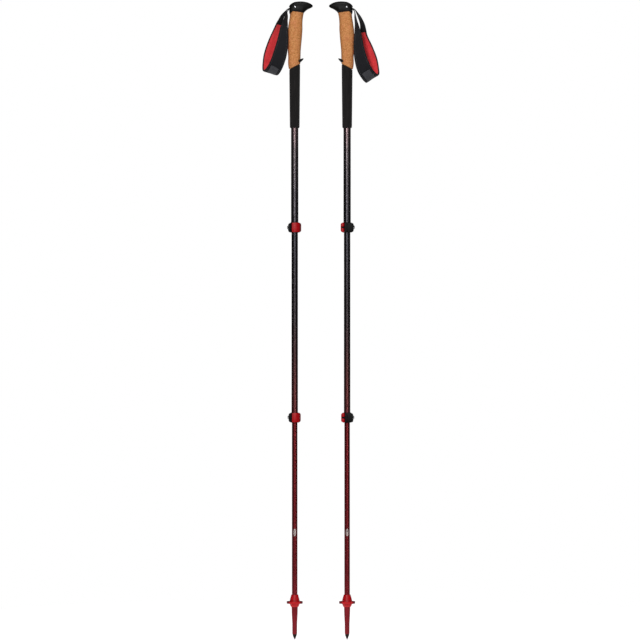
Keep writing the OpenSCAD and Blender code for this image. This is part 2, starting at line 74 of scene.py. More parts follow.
class Mat:
    """A principled material with short calls for its nodes."""

    def __init__(self, name, color, rough, metallic=0.0, **sockets):
        self.m = bpy.data.materials.new(name)
        self.m.use_nodes = True
        self.t = self.m.node_tree
        self.bsdf = self.t.nodes["Principled BSDF"]
        self.set(self.bsdf, {"Base Color": color, "Roughness": rough, "Metallic": metallic})
        self.set(self.bsdf, sockets)
        self.m.diffuse_color = color if not isinstance(color, bpy.types.NodeSocket) else (0.5, 0.5, 0.5, 1)

    def set(self, node, values):
        for k, v in values.items():
            s = node.inputs[k]
            if isinstance(v, bpy.types.NodeSocket):
                self.t.links.new(v, s)
            else:
                s.default_value = v

    def node(self, kind, props=None, **values):
        n = self.t.nodes.new("ShaderNode" + kind)
        for k, v in (props or {}).items():
            setattr(n, k, v)
        self.set(n, values)
        return n

    def math(self, op, a, b=0.0):
        n = self.t.nodes.new("ShaderNodeMath")
        n.operation = op
        for i, v in enumerate((a, b)):
            if isinstance(v, bpy.types.NodeSocket):
                self.t.links.new(v, n.inputs[i])
            else:
                n.inputs[i].default_value = v
        return n.outputs[0]

    def coords(self):
        return self.t.nodes.new("ShaderNodeTexCoord").outputs["Object"]

    def uv(self):
        s = self.t.nodes.new("ShaderNodeSeparateXYZ")
        self.t.links.new(self.t.nodes.new("ShaderNodeTexCoord").outputs["UV"], s.inputs[0])
        return s.outputs[0], s.outputs[1]

    def xyz(self, v):
        s = self.t.nodes.new("ShaderNodeSeparateXYZ")
        self.t.links.new(v, s.inputs[0])
        return s.outputs

    def stretch(self, v, scale):
        n = self.t.nodes.new("ShaderNodeMapping")
        self.t.links.new(v, n.inputs["Vector"])
        n.inputs["Scale"].default_value = scale
        return n.outputs[0]

    def noise(self, v, scale, detail=3.0, rough=0.55):
        return self.node("TexNoise", Vector=v, Scale=scale, Detail=detail, Roughness=rough).outputs[0]

    def voronoi(self, v, scale, feature="F1"):
        return self.node("TexVoronoi", {"feature": feature}, Vector=v, Scale=scale).outputs

    def ramp(self, fac, stops):
        n = self.t.nodes.new("ShaderNodeValToRGB")
        e = n.color_ramp.elements
        while len(e) < len(stops):
            e.new(0.5)
        for el, (p, c) in zip(e, sorted(stops, key=lambda s: s[0])):
            el.position = p
            el.color = c if hasattr(c, "__len__") else (c, c, c, 1)
        self.t.links.new(fac, n.inputs[0])
        return n.outputs[0]

    def mix(self, fac, a, b, blend="MIX"):
        n = self.t.nodes.new("ShaderNodeMix")
        n.data_type = "RGBA"
        n.blend_type = blend
        for sock, v in ((n.inputs[0], fac), (n.inputs[6], a), (n.inputs[7], b)):
            if isinstance(v, bpy.types.NodeSocket):
                self.t.links.new(v, sock)
            else:
                sock.default_value = v
        return n.outputs[2]

    def remap(self, v, a, b, c, d):
        n = self.node("MapRange", {"clamp": True}, **{"Value": v, "From Min": a, "From Max": b,
                                                      "To Min": c, "To Max": d})
        return n.outputs[0]

    def bump(self, height, distance, strength):
        return self.node("Bump", Height=height, Distance=distance, Strength=strength).outputs[0]

    def use(self, color=None, rough=None, normal=None):
        for k, v in (("Base Color", color), ("Roughness", rough), ("Normal", normal)):
            if v is not None:
                self.set(self.bsdf, {k: v})
        return self.m


# ---- materials ----

def shaft_material(name, stops, rough_low, rough_high, mark=False):
    """Anodised tube: colour by height, fine drawn lines along it, faint scuffs."""
    k = Mat(name, (0.05, 0.05, 0.05, 1), 0.3, 0.9)
    p = k.coords()
    x, y, z = k.xyz(p)
    height = k.math("DIVIDE", z, POLE_H)
    color = k.ramp(height, [(h / POLE_H, c) for h, c in stops])
    drawn = k.noise(k.stretch(p, (1, 1, 0.012)), 2600, 2)
    cloud = k.noise(p, 60, 4)
    color = k.mix(k.remap(drawn, 0.35, 0.65, 0.0, 0.12), color, (0.5, 0.5, 0.5, 1), "SOFT_LIGHT")
    color = k.mix(k.remap(cloud, 0.35, 0.7, 0.0, 0.14), color, (0.0, 0.0, 0.0, 1))
    scuff = k.noise(k.stretch(p, (1, 1, 0.12)), 900, 5, 0.7)
    rough = k.math("ADD", k.remap(cloud, 0.3, 0.7, rough_low, rough_high),
                   k.remap(scuff, 0.62, 0.75, 0.0, 0.1))
    if mark:
        # a plain pale oval on the front of the tube
        half_width, half_height, middle_z = 0.0036, 0.0085, 0.235
        dx = k.math("DIVIDE", k.math("SUBTRACT", k.math("ABSOLUTE", x), GAP), half_width)
        dz = k.math("DIVIDE", k.math("SUBTRACT", z, middle_z), half_height)
        oval = k.math("ADD", k.math("MULTIPLY", dx, dx), k.math("MULTIPLY", dz, dz))
        front = k.math("LESS_THAN", y, 0.0)
        patch = k.math("MULTIPLY", k.remap(oval, 0.9, 1.0, 1.0, 0.0), front)
        color = k.mix(patch, color, srgb(240, 218, 214))
    return k.use(color, rough, k.bump(drawn, 0.00002, 0.04))


def cork_material():
    """Ground cork: granules of many sizes, dark specks and open pores, with worn smoother patches."""
    k = Mat("cork", srgb(190, 132, 84), 0.75, **{"Specular IOR Level": 0.25})
    p = k.coords()
    # the granules' outlines wander by about a millimetre
    drift = k.node("VectorMath", {"operation": "SCALE"}, Scale=0.0012)
    k.t.links.new(k.node("TexNoise", Vector=p, Scale=420.0, Detail=3.0).outputs["Color"], drift.inputs[0])
    moved = k.node("VectorMath", {"operation": "ADD"})
    k.t.links.new(p, moved.inputs[0])
    k.t.links.new(drift.outputs[0], moved.inputs[1])
    q = moved.outputs[0]
    big = k.voronoi(q, 520)
    small = k.voronoi(q, 1300)
    grain = k.mix(0.5, big["Color"], small["Color"])
    tone = k.xyz(grain)[0]
    color = k.ramp(tone, [(0.18, srgb(186, 116, 64)), (0.36, srgb(212, 138, 78)), (0.5, srgb(222, 148, 86)),
                          (0.64, srgb(230, 158, 96)), (0.85, srgb(240, 176, 116))])
    salmon = k.noise(p, 110, 4, 0.6)
    color = k.mix(k.remap(salmon, 0.48, 0.66, 0.0, 0.4), color, srgb(228, 140, 96))
    edge = k.voronoi(q, 520, "DISTANCE_TO_EDGE")["Distance"]
    seam = k.remap(edge, 0.0, 0.06, 0.3, 0.0)
    color = k.mix(seam, color, srgb(140, 84, 50))
    speck = k.noise(q, 1500, 2, 0.4)
    dark = k.remap(speck, 0.66, 0.72, 0.0, 0.85)
    color = k.mix(dark, color, srgb(74, 42, 26))
    pore = k.math("ADD", k.math("MULTIPLY", seam, 0.9), dark)
    height = k.math("SUBTRACT", k.math("MULTIPLY", k.noise(p, 900, 3), 0.5), pore)
    normal = k.bump(height, 0.00028, 0.7)
    rough = k.remap(k.noise(p, 420, 3), 0.3, 0.7, 0.62, 0.86)
    return k.use(color, rough, normal)


def foam_material():
    """Closed-cell foam sleeve with fine lengthways ribs."""
    k = Mat("foam", srgb(27, 25, 25), 0.9, **{"Specular IOR Level": 0.2, "Sheen Weight": 0.12,
                                              "Sheen Roughness": 0.5})
    p = k.coords()
    streak = k.noise(k.stretch(p, (1, 1, 0.05)), 700, 3, 0.6)
    cells = k.noise(p, 2300, 2)
    color = k.ramp(streak, [(0.3, srgb(17, 16, 16)), (0.52, srgb(27, 25, 25)), (0.72, srgb(44, 40, 40))])
    color = k.mix(k.remap(cells, 0.55, 0.75, 0.0, 0.4), color, srgb(54, 50, 49))
    height = k.math("ADD", k.math("MULTIPLY", streak, 0.9), k.math("MULTIPLY", cells, 0.5))
    return k.use(color, k.remap(streak, 0.3, 0.7, 0.78, 0.95), k.bump(height, 0.00022, 0.8))


def moulded(name, dark, light, rough_low, rough_high, grain, depth, edge=None, rim=None, **extra):
    """Moulded plastic or rubber: a fine spark-eroded grain, soft tone changes and paler worn edges.

    rim is a darker colour, painted shade on what stands out sideways from a pole's axis.
    """
    k = Mat(name, dark, 0.5, **extra)
    p = k.coords()
    fine = k.noise(p, grain, 2, 0.5)
    cloud = k.noise(p, 85, 4)
    color = k.mix(k.remap(cloud, 0.35, 0.68, 0.0, 1.0), dark, light)
    if edge is not None:
        point = k.t.nodes.new("ShaderNodeNewGeometry").outputs["Pointiness"]
        worn = k.math("MULTIPLY", k.remap(point, 0.52, 0.62, 0.0, 1.0), k.remap(fine, 0.4, 0.6, 0.2, 0.8))
        color = k.mix(worn, color, edge)
    if rim is not None:
        # painted shade: the further a point stands sideways from the pole's axis, the closer its colour
        # goes to rim
        off = k.math("ABSOLUTE", k.math("SUBTRACT", k.math("ABSOLUTE", k.xyz(p)[0]), GAP))
        color = k.mix(k.remap(off, 0.0095, 0.014, 0.0, 0.85), color, rim)
    scratch = k.noise(k.stretch(p, (0.3, 0.3, 3.0)), 1300, 4, 0.7)
    rough = k.math("ADD", k.remap(cloud, 0.3, 0.7, rough_low, rough_high),
                   k.remap(scratch, 0.64, 0.74, 0.0, 0.18))
    return k.use(color, rough, k.bump(fine, depth, 0.8))


def metal(name, color, rough, grain=2200):
    """Bare or blackened metal: clouded with a darker tone of its own colour, finely grained."""
    k = Mat(name, color, rough, 1.0)
    p = k.coords()
    fine = k.noise(p, grain, 3, 0.6)
    cloud = k.noise(p, 240, 4)
    darker = tuple(0.55 * v for v in color[:3]) + (1,)
    c = k.mix(k.remap(cloud, 0.4, 0.7, 0.0, 0.6), color, darker)
    return k.use(c, k.remap(fine, 0.3, 0.7, rough - 0.08, rough + 0.14), k.bump(fine, 0.00002, 0.6))


def screw_material(name, bright, dark):
    """Steel screw: its head is plain and bright, the shank inside the boss is painted black as shade."""
    k = Mat(name, bright, 0.26, 1.0)
    p = k.coords()
    x = k.math("ABSOLUTE", k.xyz(p)[0])
    fine = k.noise(p, 2400, 3, 0.6)
    # painted shade: all of the screw nearer the axis than its head, inside the boss, is dark
    color = k.mix(k.remap(x, GAP + 0.0130, GAP + 0.0132, 0.0, 1.0), dark, bright)
    color = k.mix(k.remap(k.noise(p, 260, 4), 0.4, 0.7, 0.0, 0.5), color, dark)
    return k.use(color, k.remap(fine, 0.3, 0.7, 0.2, 0.4), k.bump(fine, 0.00002, 0.5))


def webbing_material():
    """Flat woven webbing: warp ribs across, each rib stepped by the weft."""
    k = Mat("webbing", srgb(18, 18, 23), 0.75, **{"Sheen Weight": 0.15, "Sheen Roughness": 0.4,
                                                   "Specular IOR Level": 0.25})
    u, v = k.uv()
    rib_w = 0.95
    rib = k.math("ABSOLUTE", k.math("SINE", k.math("MULTIPLY", u, math.pi / rib_w)))
    row = k.math("FLOOR", k.math("DIVIDE", u, rib_w))
    phase = k.math("ADD", k.math("MULTIPLY", v, 2 * math.pi / 1.5), k.math("MULTIPLY", row, math.pi))
    weft = k.math("ADD", k.math("MULTIPLY", k.math("SINE", phase), 0.3), 0.7)
    height = k.math("MULTIPLY", rib, weft)
    fuzz = k.noise(k.coords(), 3000, 2)
    color = k.ramp(height, [(0.0, srgb(5, 5, 7)), (0.5, srgb(17, 17, 22)), (1.0, srgb(32, 32, 39))])
    color = k.mix(k.remap(fuzz, 0.5, 0.7, 0.0, 0.3), color, srgb(44, 44, 52))
    return k.use(color, k.remap(fuzz, 0.3, 0.7, 0.62, 0.82), k.bump(height, 0.00022, 0.8))


def weave_material(name, dark, mid, light, pitch, depth, sheen):
    """Plain weave cloth at its real pitch, in the piece's own millimetres."""
    k = Mat(name, mid, 0.8, **{"Sheen Weight": sheen, "Sheen Roughness": 0.45, "Specular IOR Level": 0.3})
    u, v = k.uv()
    a = k.math("SINE", k.math("MULTIPLY", u, math.pi / pitch))
    b = k.math("SINE", k.math("MULTIPLY", v, math.pi / pitch))
    height = k.math("ADD", k.math("MULTIPLY", k.math("MULTIPLY", a, b), 0.5), 0.5)
    cloud = k.noise(k.coords(), 70, 4)
    fuzz = k.noise(k.coords(), 2600, 2)
    color = k.ramp(height, [(0.0, dark), (0.5, mid), (1.0, light)])
    color = k.mix(k.remap(cloud, 0.35, 0.7, 0.0, 0.3), color, dark)
    color = k.mix(k.remap(fuzz, 0.55, 0.75, 0.0, 0.25), color, light)
    return k.use(color, k.remap(fuzz, 0.3, 0.7, 0.7, 0.9), k.bump(height, depth, 0.7))


def lining_material():
    """Red spacer knit: rows of small open cells with a soft nap."""
    k = Mat("red_lining", srgb(190, 30, 36), 0.8, **{"Sheen Weight": 0.3, "Sheen Roughness": 0.4,
                                                      "Specular IOR Level": 0.25})
    u, v = k.uv()
    pitch = 1.25
    row = k.math("FLOOR", k.math("DIVIDE", v, pitch))
    shift = k.math("MULTIPLY", k.math("MODULO", k.math("ABSOLUTE", row), 2.0), pitch / 2)
    a = k.math("SINE", k.math("MULTIPLY", k.math("ADD", u, shift), 2 * math.pi / pitch))
    b = k.math("SINE", k.math("MULTIPLY", v, math.pi / pitch))
    cell = k.math("MULTIPLY", k.math("ADD", k.math("MULTIPLY", a, 0.5), 0.5), k.math("ABSOLUTE", b))
    cloud = k.noise(k.coords(), 90, 4)
    fuzz = k.noise(k.coords(), 3200, 2)
    color = k.ramp(cell, [(0.0, srgb(248, 74, 78)), (0.55, srgb(238, 52, 60)), (1.0, srgb(166, 18, 28))])
    color = k.mix(k.remap(cloud, 0.35, 0.7, 0.0, 0.3), color, srgb(190, 30, 42))
    color = k.mix(k.remap(fuzz, 0.55, 0.75, 0.0, 0.3), color, srgb(246, 110, 112))
    height = k.math("SUBTRACT", 1.0, cell)
    return k.use(color, k.remap(fuzz, 0.3, 0.7, 0.72, 0.9), k.bump(height, 0.00035, 0.8))


# colours by height in metres; the black tube grows lighter towards its top and the red tube towards its
# foot
black_stops = [
    (0.85, srgb(56, 54, 58)), (0.98, srgb(66, 63, 67)), (1.07, srgb(80, 74, 76)), (1.12, srgb(108, 90, 92)),
]
fade_stops = [
    (0.49, srgb(122, 62, 64)), (0.53, srgb(114, 60, 60)), (0.58, srgb(94, 56, 56)),
    (0.64, srgb(76, 56, 57)), (0.70, srgb(58, 52, 54)), (0.88, srgb(54, 53, 58)),
]
red_stops = [
    (0.08, srgb(166, 52, 60)), (0.25, srgb(156, 48, 54)),
    (0.42, srgb(140, 44, 48)), (0.57, srgb(126, 40, 44)),
]
SHAFT_BLACK = shaft_material("anodised_black", black_stops, 0.22, 0.3)
SHAFT_FADE = shaft_material("anodised_fade", fade_stops, 0.24, 0.32)
SHAFT_RED = shaft_material("anodised_red", red_stops, 0.22, 0.3, mark=True)
CORK = cork_material()
FOAM = foam_material()
RUBBER = moulded("rubber", srgb(9, 8, 8), srgb(15, 14, 14), 0.46, 0.6, 1500, 0.00006, srgb(40, 38, 38),
                 **{"Specular IOR Level": 0.22})
NYLON = moulded("nylon", srgb(8, 8, 8), srgb(14, 14, 14), 0.5, 0.62, 1700, 0.00007, srgb(36, 36, 38),
                **{"Specular IOR Level": 0.14})
RED = moulded("red_plastic", srgb(174, 7, 17), srgb(190, 11, 22), 0.32, 0.44, 2100, 0.00003,
              srgb(210, 44, 50), **{"Specular IOR Level": 0.24})
# the basket's last colour is painted shade on the dish's sideways ends
BASKET = moulded("basket_plastic", srgb(168, 7, 17), srgb(182, 10, 21), 0.34, 0.46, 2100, 0.00003,
                 srgb(200, 40, 46), srgb(84, 8, 22), **{"Specular IOR Level": 0.22})
FERRULE = moulded("ferrule_plastic", srgb(108, 8, 20), srgb(124, 13, 26), 0.38, 0.52, 2100, 0.00004,
                  srgb(156, 40, 50), **{"Specular IOR Level": 0.18})
STEEL = metal("steel", (0.62, 0.62, 0.64, 1), 0.24)
BLACK_STEEL = metal("black_steel", (0.022, 0.016, 0.016, 1), 0.45)
# the screw's dark colour is painted shade inside the boss, and also its random darker clouds
SCREW = screw_material("screw", (0.55, 0.55, 0.56, 1), (0.02, 0.02, 0.02, 1))
CARBIDE = metal("carbide", (0.33, 0.33, 0.35, 1), 0.46, grain=5200)
WEBBING = webbing_material()
SHELL = weave_material("pad_shell", srgb(9, 9, 13), srgb(17, 17, 23), srgb(30, 30, 38),
                       0.55, 0.00012, 0.12)
BINDING = weave_material("binding", srgb(7, 7, 9), srgb(14, 14, 18), srgb(27, 27, 32), 0.4, 0.0001, 0.12)
LINING = lining_material()
PATCH = weave_material("patch", srgb(42, 42, 46), srgb(64, 64, 69), srgb(96, 96, 102), 0.4, 0.00006, 0.3)
THREAD = moulded("thread", srgb(44, 44, 50), srgb(66, 66, 72), 0.55, 0.7, 3000, 0.00003,
                 **{"Sheen Weight": 0.4})
RED_THREAD = moulded("red_thread", srgb(120, 14, 20), srgb(150, 24, 30), 0.55, 0.7, 3000, 0.00003,
                     **{"Sheen Weight": 0.4})


# ---- mesh helpers ----

def new_object(name, verts, faces, mat, uvs=None):
    mesh = bpy.data.meshes.new(name)
    mesh.from_pydata([tuple(v) for v in verts], [], faces)
    mesh.materials.append(mat)
    obj = bpy.data.objects.new(name, mesh)
    scene.collection.objects.link(obj)
    if uvs is not None:
        layer = mesh.uv_layers.new(name="UVMap")
        for loop in mesh.loops:
            layer.data[loop.index].uv = uvs[loop.vertex_index]
    return obj


def outward(obj):
    """Turns every face outwards."""
    bm = bmesh.new()
    bm.from_mesh(obj.data)
    bmesh.ops.recalc_face_normals(bm, faces=bm.faces)
    bm.to_mesh(obj.data)
    bm.free()


def bake_modifiers(obj, sharp):
    """Applies every modifier, then shades smooth, with crisp edges above the angle if there is one."""
    bpy.context.view_layer.update()
    done = bpy.data.meshes.new_from_object(obj.evaluated_get(bpy.context.evaluated_depsgraph_get()))
    obj.modifiers.clear()
    obj.data = done
    done.polygons.foreach_set("use_smooth", [True] * len(done.polygons))
    if sharp is not None:
        done.set_sharp_from_angle(angle=math.radians(sharp))


def place(side, pts):
    """Pole coordinates in mm (beak towards +X) to the row frame in metres."""
    p = np.asarray(pts, float) * MM
    if side == "left":
        return np.column_stack([-GAP + p[:, 0], p[:, 1], p[:, 2]])
    return np.column_stack([GAP - p[:, 0], -p[:, 1], p[:, 2]])


def place_strap(side, pts):
    """Strap coordinates in mm (x is minus the distance from the pole) to the row frame."""
    p = np.asarray(pts, float) * MM
    if side == "left":
        return np.column_stack([-GAP + p[:, 0], p[:, 1], p[:, 2]])
    return np.column_stack([GAP - p[:, 0], p[:, 1], p[:, 2]])


def grid_faces(rings, n):
    """Faces between closed rings of n points each."""
    out = []
    for i in range(rings - 1):
        for j in range(n):
            a, b = i * n + j, i * n + (j + 1) % n
            out.append((a, b, b + n, a + n))
    return out


def loft(name, rings, mat, caps, uvs, placer):
    """Skin over rings of equal count, in millimetres, which the placer puts in the row frame."""
    n, m = len(rings[0]), len(rings)
    pts = np.concatenate([np.asarray(r, float) for r in rings])
    faces = grid_faces(m, n)
    if caps:
        faces.append(tuple(range(n))[::-1])
        faces.append(tuple((m - 1) * n + j for j in range(n)))
    obj = new_object(name, placer(pts), faces, mat, uvs)
    outward(obj)
    return obj


def circle(r, n, x=0.0, z=0.0):
    """n points of a circle about (x, z)."""
    turns = np.linspace(0, 2 * math.pi, n, endpoint=False)
    return [(x + r * math.cos(a), z + r * math.sin(a)) for a in turns]


def catmull_rom(a, b, c, d, t):
    square, cube = 2 * a - 5 * b + 4 * c - d, 3 * b - a - 3 * c + d
    return 0.5 * (2 * b + (c - a) * t + square * t * t + cube * t ** 3)


def row_at(rows, t):
    """Smooth value between the rows of a table, at row number t."""
    rows = np.asarray(rows, float)
    i = min(int(math.floor(t)), len(rows) - 2)
    near = [rows[max(0, min(len(rows) - 1, k))] for k in range(i - 1, i + 3)]
    return catmull_rom(*near, t - i)


def cut(obj, cutter):
    """Takes the cutter's shape out of the object."""
    m = obj.modifiers.new("cut", "BOOLEAN")
    m.operation = "DIFFERENCE"
    m.solver = "EXACT"
    m.object = cutter
    bake_modifiers(obj, None)
    bpy.data.objects.remove(cutter)


def prism(points, half, placer):
    """Closed prism over an (x, z) outline, reaching half its depth to both sides."""
    n = len(points)
    pts = [(x, -half, z) for x, z in points] + [(x, half, z) for x, z in points]
    faces = [tuple(range(n)), tuple(range(2 * n - 1, n - 1, -1))]
    faces += [(j, j + n, (j + 1) % n + n, (j + 1) % n) for j in range(n)]
    obj = new_object("cutter", placer(np.array(pts, float)), faces, RUBBER)
    outward(obj)
    return obj


def bevel(obj, width, segments, angle):
    m = obj.modifiers.new("bevel", "BEVEL")
    m.width = width
    m.segments = segments
    m.limit_method = "ANGLE"
    m.angle_limit = math.radians(angle)


def refined(node, body, mat, width, segments=2, angle=35.0):
    """A copy of a CAD node's shape with its sharp edges rounded, as moulding leaves them."""
    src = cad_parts[node].data
    bm = bmesh.new()
    bm.from_mesh(src)
    bmesh.ops.remove_doubles(bm, verts=bm.verts, dist=2e-6)
    bmesh.ops.dissolve_limit(bm, angle_limit=math.radians(0.8), verts=bm.verts, edges=bm.edges)
    mesh = bpy.data.meshes.new(node + "_form")
    bm.to_mesh(mesh)
    bm.free()
    mesh.materials.clear()
    mesh.materials.append(mat)
    obj = bpy.data.objects.new(node + "_form", mesh)
    scene.collection.objects.link(obj)
    bevel(obj, width, segments, angle)
    bake_modifiers(obj, 30.0)
    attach(obj, body)
    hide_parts(node)


def dress(node, mat):
    """Gives a CAD node its material and leaves its mesh alone."""
    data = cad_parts[node].data
    data.materials.clear()
    data.materials.append(mat)


# ---- grip forms ----

# height, then radius to the front, to the rear and to the sides
cork_rows = [
    [1248, 11.6, 11.8, 12.0], [1257, 11.8, 13.8, 12.8], [1265, 12.4, 14.6, 13.2], [1277, 12.8, 14.3, 12.8],
    [1293, 13.3, 15.2, 12.6], [1315, 15.3, 16.0, 13.4], [1337, 17.0, 15.2, 14.0], [1352, 17.0, 13.2, 13.8],
    [1366, 18.2, 10.9, 13.2], [1382, 21.4, 10.4, 12.6],
]
# distance along the beak, then lowest and highest point and half width
pommel_rows = [
    [-12.4, 1382.0, 1388.5, 3.0], [-11.6, 1374.0, 1390.8, 7.6], [-9.0, 1370.0, 1393.8, 11.2],
    [-5.0, 1370.0, 1396.6, 13.2], [1.0, 1370.0, 1399.0, 14.3], [9.0, 1370.0, 1399.9, 14.8],
    [17.0, 1371.0, 1399.9, 14.0], [22.0, 1377.0, 1399.3, 12.4], [27.0, 1381.2, 1398.2, 10.6],
    [32.0, 1383.8, 1396.4, 8.6], [36.0, 1385.7, 1394.2, 6.4], [38.8, 1387.6, 1392.0, 3.6],
    [39.7, 1389.0, 1390.6, 1.2],
]
# (x, z) of the line where the pommel meets the cork
SEAM = [(-60.0, 1371.6), (-11.5, 1371.6), (-4.0, 1377.6), (24.0, 1374.6), (60.0, 1374.6)]


def seam_z(x):
    """Height of the line where the pommel meets the cork."""
    return float(np.interp(x, [p[0] for p in SEAM], [p[1] for p in SEAM]))


def foam_seam(x):
    """Height of the slanting line where the cork meets the foam."""
    return 1256.75 + x * (1262.0 - 1251.5) / 23.0


def oval_point(front, rear, half, power, turn):
    """A point of a squarish oval at a share of a full turn."""
    c, s = math.cos(2 * math.pi * turn), math.sin(2 * math.pi * turn)
    return (math.copysign(abs(c) ** (2 / power), c) * (front if c > 0 else rear),
            math.copysign(abs(s) ** (2 / power), s) * half)


def cork_radius(z):
    """The cork's radius to the front, to the rear and to the sides, at a height."""
    zs = [r[0] for r in cork_rows]
    i = min(max(np.searchsorted(zs, z) - 1, 0), len(zs) - 2)
    return row_at(cork_rows, i + (z - zs[i]) / (zs[i + 1] - zs[i]))[1:]


def on_grip(obj, side, node, sharp):
    """Ends a grip piece: applies its modifiers and shades it smooth, hangs it on the grip it rides on and
    hides the CAD node it stands for.
    """
    bake_modifiers(obj, sharp)
    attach(obj, side + "_grip")
    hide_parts(side + node)


def make_cork(side):
    """Cork tube between the foam's seam and the pommel's, gently uneven."""
    n, m = 96, 110
    rings = []
    for k in range(m + 1):
        s = k / m
        ring = []
        for j in range(n):
            # both ends slant, so the height and the radius are found in turn
            z = 1256 + s * 118
            for _ in range(4):
                x, y = oval_point(*cork_radius(z), CORK_POWER, j / n)
                low, high = foam_seam(x) + 0.1, seam_z(x) + 0.15
                z = low + s * (high - low)
            # rolled edge at the foot and where the cork meets the pommel
            edge = min(s * (high - low), (1 - s) * (high - low) + 0.8)
            roll = 0.9 * max(0.0, 1 - edge / 1.3) ** 2
            scale = 1 - roll / math.hypot(x, y)
            w = noise.noise(Vector((x, y, z)) * 0.09) * 0.16
            ring.append((x * scale + w * x / 15, y * scale + w * y / 15, z))
        rings.append(ring)
    bore = circle(CORE_R, n)
    rings.insert(0, [(a, b, foam_seam(a) + 0.15) for a, b in bore])
    rings.append([(a, b, seam_z(a) + 0.1) for a, b in bore])
    obj = loft(side + "_cork", rings, CORK, False, None, lambda p: place(side, p))
    on_grip(obj, side, "_cork_grip", 50)


def make_pommel(side):
    """Rubber head with its beak, hollowed for the core, the webbing, the wedge and the pin."""
    n = 72
    section = [oval_point(1, 1, 1, 2.3, k / n) for k in range(n)]
    rings = []
    for t in np.linspace(0, len(pommel_rows) - 1, 97):
        x, low, high, half = row_at(pommel_rows, t)
        half = max(half, 0.4)
        rings.append([(x, p[0] * half, (low + high) / 2 + p[1] * (high - low) / 2) for p in section])
    put = lambda p: place(side, p)
    obj = loft(side + "_pommel_form", rings, RUBBER, True, None, put)
    # all below the cork's top
    cut(obj, prism([(-60, 1300), (60, 1300)] + SEAM[::-1], 40, put))
    # the webbing's slot, rounded in front of the pin
    half_turn = np.linspace(math.pi / 2, -math.pi / 2, 20)
    arc = [(PIN_X + 3.5 * math.cos(a), PIN_Z + 3.5 * math.sin(a)) for a in half_turn]
    cut(obj, prism([(-16.5, 1378), (-16.5, 1386)] + arc, 8, put))
    # the wedge's pocket
    cut(obj, prism([(-8.05, 1389), (-2.75, 1389), (-2.75, 1410), (-8.05, 1410)], 6.05, put))
    # the pin's hole
    cut(obj, prism(circle(1.65, 32, PIN_X, PIN_Z), 20, put))
    # the core's bore
    k = 48
    bore = circle(CORE_R, k)
    pts = [(a, b, 1360) for a, b in bore] + [(a, b, 1380) for a, b in bore]
    faces = [tuple(range(k))[::-1], tuple(range(k, 2 * k))] + grid_faces(2, k)
    cut(obj, new_object("cutter", put(pts), faces, RUBBER))
    bevel(obj, 0.0005, 2, 50)
    on_grip(obj, side, "_pommel", 50)


def make_foam(side):
    """Foam sleeve that widens upwards, with fine ribs along it."""
    n, m = 128, 90
    rings = []
    for k in range(m + 1):
        s = k / m
        ring = []
        for j in range(n):
            a = 2 * math.pi * j / n
            z = FOAM_LOW_Z + s * 135
            for _ in range(3):
                r = 10.5 + 1.4 * (z - FOAM_LOW_Z) / 140
                top = foam_seam(r * math.cos(a)) - 0.15
                z = FOAM_LOW_Z + s * (top - FOAM_LOW_Z)
            # rounded ends, and 32 shallow ribs that fade out towards them
            d = min(z - FOAM_LOW_Z, top - z)
            r -= 1.5 * max(0.0, 1 - d / 1.8) ** 2.2
            r += 0.11 * math.cos(a * 32) * min(1.0, max(0.0, (d - 2) / 6))
            ring.append((r * math.cos(a), r * math.sin(a), z))
        rings.append(ring)
    bore = circle(8.05, n)
    rings.insert(0, [(x, y, FOAM_LOW_Z + 0.2) for x, y in bore])
    rings.append([(x * 1.15, y * 1.15, foam_seam(x) - 0.2) for x, y in bore])
    obj = loft(side + "_foam", rings, FOAM, False, None, lambda p: place(side, p))
    on_grip(obj, side, "_foam_grip", 60)


def make_ledge(side):
    """Lip that stands out furthest in front and dies into the cork at both ends."""
    half_steps, half_angle = 30, 52
    root, low = 12.6, 1265.6
    rings = []
    for k in range(-half_steps, half_steps + 1):
        a = math.radians(half_angle * k / half_steps)
        # the lip's edge is a circle of 13.3 mm about a point 6 mm in front of the axis
        edge = 6 * math.cos(a) + math.sqrt(13.3 ** 2 - (6 * math.sin(a)) ** 2)
        end = 1 - 1.25 * max(0.0, abs(k) / half_steps - 0.8)
        reach = max(edge - root, 0.6)
        top = low + reach * 1.143
        prof = [
            (9, low - 0.4), (11, low - 0.4), (root, low + 0.2),
            (root + reach * 0.5, low + 0.1 + reach * 0.56), (root + reach * 0.93, top - 1.0),
            (root + reach, top + 0.6), (root + reach * 0.98, top + 1.9), (root + reach * 0.84, top + 2.3),
            (root + reach * 0.6, low + 3.4 + reach * 0.6), (root + reach * 0.2, low + 4.2 + reach * 0.2),
            (11.6, low + 4.4), (9, low + 3.8),
        ]
        mid = low + 2 + reach * 0.5
        rings.append([(r * math.cos(a), r * math.sin(a), mid + (z - mid) * end) for r, z in prof])
    obj = loft(side + "_ledge", rings, RUBBER, True, None, lambda p: place(side, p))
    sub = obj.modifiers.new("smooth", "SUBSURF")
    sub.levels = sub.render_levels = 1
    on_grip(obj, side, "_finger_ledge", 60)


# ---- straps ----

# Rows along each strap's middle, from the slot round the loop and back: distance from the pole, then
# y and z, the band's turn about its own path, its tilt and its width
left_strap = [
    [16.0, 0, 1378.6, 0, 0, 15], [17.6, -3, 1369, 20, 0, 15], [19.4, -8, 1359, 32, 3, 15],
    [21.4, -12.5, 1349, 63, 10, 15], [23.6, -15, 1337, 90, 15, 18], [26.5, -16.5, 1311, 90, 17, 25],
    [32, -17, 1284, 90, 18, 30], [39.5, -16, 1262, 90, 18, 31], [47, -10.5, 1248.5, 90, 17, 31],
    [53, 0, 1244, 90, 16, 31], [55.5, 10.5, 1248.5, 90, 17, 31], [55.5, 16, 1262, 90, 18, 31],
    [53, 17, 1284, 90, 18, 30], [46.5, 16.5, 1311, 90, 17, 25], [38.5, 15, 1337, 90, 15, 18],
    [34.5, 12.5, 1350, 70, 12, 15], [31, 8, 1359.5, 42, 5, 15], [26, 3, 1369.5, 30, 0, 15],
    [18.2, 0, 1380.6, 0, 0, 15],
]
